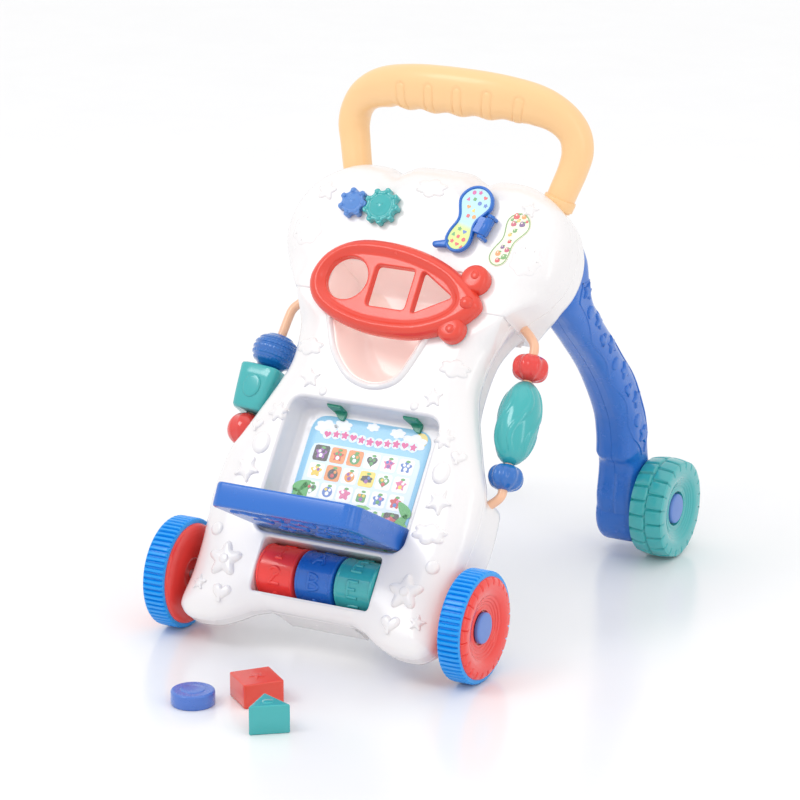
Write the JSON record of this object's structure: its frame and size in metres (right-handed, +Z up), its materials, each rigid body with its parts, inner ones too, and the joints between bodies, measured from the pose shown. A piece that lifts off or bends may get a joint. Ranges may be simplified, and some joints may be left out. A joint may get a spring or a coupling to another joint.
{
  "type": "baby walker",
  "caption": "Push-along activity walker with an arched grip, sloping play panel, shape sorter, gears, beads on side rods, letter rollers and a fold-down cover.",
  "frame": {"origin": "centre of the bounding box, on the floor under the wheels", "axes": "+Z up; the play panel faces -Y, so the child walks behind at +Y; +X to the right of someone facing the panel"},
  "size_m": [0.3452, 0.6379, 0.485],
  "materials": {
    "white_shell": "smooth moulded",
    "coral_plastic": "glossy moulded",
    "hub_plastic": "glossy moulded",
    "teal_plastic": "glossy moulded",
    "blue_plastic": "glossy moulded",
    "gear_plastic": "glossy moulded",
    "tyre_plastic": "ribbed tread",
    "cap_plastic": "smooth moulded",
    "peach_plastic": "satin moulded",
    "chute_plastic": "smooth moulded",
    "picture_card": "printed card",
    "sticker": "printed film",
    "catch_plastic": "glossy moulded",
    "grey_plastic": "fine texture",
    "dark_plastic": "fine texture",
    "board_green": "lacquered",
    "cell_jacket": "printed jacket",
    "steel": "bright zinc"
  },
  "bodies": {
    "frame": {"torso_front": "white_shell", "torso_rear": "white_shell", "head_front": "white_shell", "head_rear": "white_shell", "handle": "peach_plastic", "chute_cup": "chute_plastic", "sorter_panel": "coral_plastic", "board_well": "white_shell", "picture_card": "picture_card", "cover_catches": "catch_plastic", "roller_well": "grey_plastic", "roller_axle": "steel", "cover_pin": "steel", "rod_left": "peach_plastic", "rod_right": "peach_plastic", "gear_posts": "steel", "flip_hinge": "blue_plastic", "flip_pin": "steel", "fruit_sticker": "sticker", "leg_left": "blue_plastic", "leg_right": "blue_plastic", "leg_screws": "steel", "front_axles": "steel", "axle_blocks": "grey_plastic", "rear_axles": "steel", "battery_door": "grey_plastic", "batteries": "cell_jacket", "circuit_board": "board_green", "speaker": "dark_plastic", "speaker_grille": "grey_plastic", "shell_screws": "steel"},
    "cover": {"cover": "blue_plastic"},
    "roller_red": {"roller_red": "coral_plastic"},
    "roller_blue": {"roller_blue": "blue_plastic"},
    "roller_teal": {"roller_teal": "teal_plastic"},
    "bead_ribbed": {"bead_ribbed": "blue_plastic"},
    "bead_block": {"bead_block": "teal_plastic"},
    "bead_round": {"bead_round": "coral_plastic"},
    "bead_lobed": {"bead_lobed": "coral_plastic"},
    "bead_barrel": {"bead_barrel": "teal_plastic"},
    "bead_small": {"bead_small": "blue_plastic"},
    "gear_blue": {"gear_blue": "gear_plastic"},
    "gear_teal": {"gear_teal": "teal_plastic"},
    "flip_page": {"flip_page": "blue_plastic"},
    "front_wheel_left": {"tyre_left": "tyre_plastic", "hub_left": "hub_plastic", "cap_left": "cap_plastic"},
    "front_wheel_right": {"tyre_right": "tyre_plastic", "hub_right": "hub_plastic", "cap_right": "cap_plastic"},
    "back_wheel_left": {"rear_wheel_left": "teal_plastic", "rear_cap_left": "cap_plastic"},
    "back_wheel_right": {"rear_wheel_right": "teal_plastic", "rear_cap_right": "cap_plastic"},
    "power_switch": {"power_switch": "coral_plastic"},
    "block_round": {"block_round": "blue_plastic"},
    "block_square": {"block_square": "coral_plastic"},
    "block_tri": {"block_tri": "teal_plastic"}
  },
  "joints": [
    {"name": "front_left_spin", "type": "hinge", "parent": "frame", "child": "front_wheel_left", "pos_m": [-0.15, -0.1118, 0.0506], "axis": [1, 0, 0], "continuous": true},
    {"name": "front_right_spin", "type": "hinge", "parent": "frame", "child": "front_wheel_right", "pos_m": [0.15, -0.1118, 0.0506], "axis": [1, 0, 0], "continuous": true},
    {"name": "back_left_spin", "type": "hinge", "parent": "frame", "child": "back_wheel_left", "pos_m": [-0.1555, 0.2712, 0.0477], "axis": [1, 0, 0], "continuous": true},
    {"name": "back_right_spin", "type": "hinge", "parent": "frame", "child": "back_wheel_right", "pos_m": [0.1555, 0.2712, 0.0477], "axis": [1, 0, 0], "continuous": true},
    {"name": "cover_hinge", "type": "hinge", "parent": "frame", "child": "cover", "pos_m": [0, -0.09294, 0.11102], "axis": [1, 0, 0], "range_deg": [-98, 0]},
    {"name": "roller_red_spin", "type": "hinge", "parent": "frame", "child": "roller_red", "pos_m": [-0.04, -0.11102, 0.06742], "axis": [1, 0, 0], "continuous": true},
    {"name": "roller_blue_spin", "type": "hinge", "parent": "frame", "child": "roller_blue", "pos_m": [0, -0.11102, 0.06742], "axis": [1, 0, 0], "continuous": true},
    {"name": "roller_teal_spin", "type": "hinge", "parent": "frame", "child": "roller_teal", "pos_m": [0.04, -0.11102, 0.06742], "axis": [1, 0, 0], "continuous": true},
    {"name": "bead_ribbed_spin", "type": "hinge", "parent": "frame", "child": "bead_ribbed", "pos_m": [-0.12887, 0.02664, 0.22627], "axis": [0.0698, 0.5864, 0.807], "continuous": true},
    {"name": "bead_block_spin", "type": "hinge", "parent": "frame", "child": "bead_block", "pos_m": [-0.13152, 0.00436, 0.1956], "axis": [0.0698, 0.5864, 0.807], "continuous": true},
    {"name": "bead_round_spin", "type": "hinge", "parent": "frame", "child": "bead_round", "pos_m": [-0.13414, -0.01763, 0.16534], "axis": [0.0698, 0.5864, 0.807], "continuous": true},
    {"name": "bead_lobed_spin", "type": "hinge", "parent": "frame", "child": "bead_lobed", "pos_m": [0.12741, 0.03895, 0.24322], "axis": [-0.0698, 0.5864, 0.807], "continuous": true},
    {"name": "bead_barrel_spin", "type": "hinge", "parent": "frame", "child": "bead_barrel", "pos_m": [0.13107, 0.00817, 0.20085], "axis": [-0.0698, 0.5864, 0.807], "continuous": true},
    {"name": "bead_small_spin", "type": "hinge", "parent": "frame", "child": "bead_small", "pos_m": [0.13468, -0.02215, 0.15912], "axis": [-0.0698, 0.5864, 0.807], "continuous": true},
    {"name": "gear_teal_spin", "type": "hinge", "parent": "frame", "child": "gear_teal", "pos_m": [-0.04156, 0.0711, 0.36402], "axis": [0, -0.809, 0.5878], "continuous": true},
    {"name": "gear_blue_spin", "type": "hinge", "parent": "frame", "child": "gear_blue", "pos_m": [-0.071, 0.0711, 0.36402], "axis": [0, -0.809, 0.5878], "continuous": true},
    {"name": "flip_page_hinge", "type": "hinge", "parent": "frame", "child": "flip_page", "pos_m": [0.0692, 0.06334, 0.361], "axis": [0.2419, 0.5703, 0.785], "range_deg": [0, 176]},
    {"name": "power_switch_slide", "type": "slide", "parent": "frame", "child": "power_switch", "axis": [0, 0.5878, 0.809], "range_m": [0, 0.009]},
    {"name": "block_round_lift", "type": "slide", "parent": "frame", "child": "block_round", "axis": [0, 0, 1], "range_m": [0, 0.15]},
    {"name": "block_square_lift", "type": "slide", "parent": "frame", "child": "block_square", "axis": [0, 0, 1], "range_m": [0, 0.15]},
    {"name": "block_tri_lift", "type": "slide", "parent": "frame", "child": "block_tri", "axis": [0, 0, 1], "range_m": [0, 0.15]}
  ],
  "couplings": [
    {"joint": "gear_blue_spin", "follows": "gear_teal_spin", "ratio": -1.2857}
  ]
}
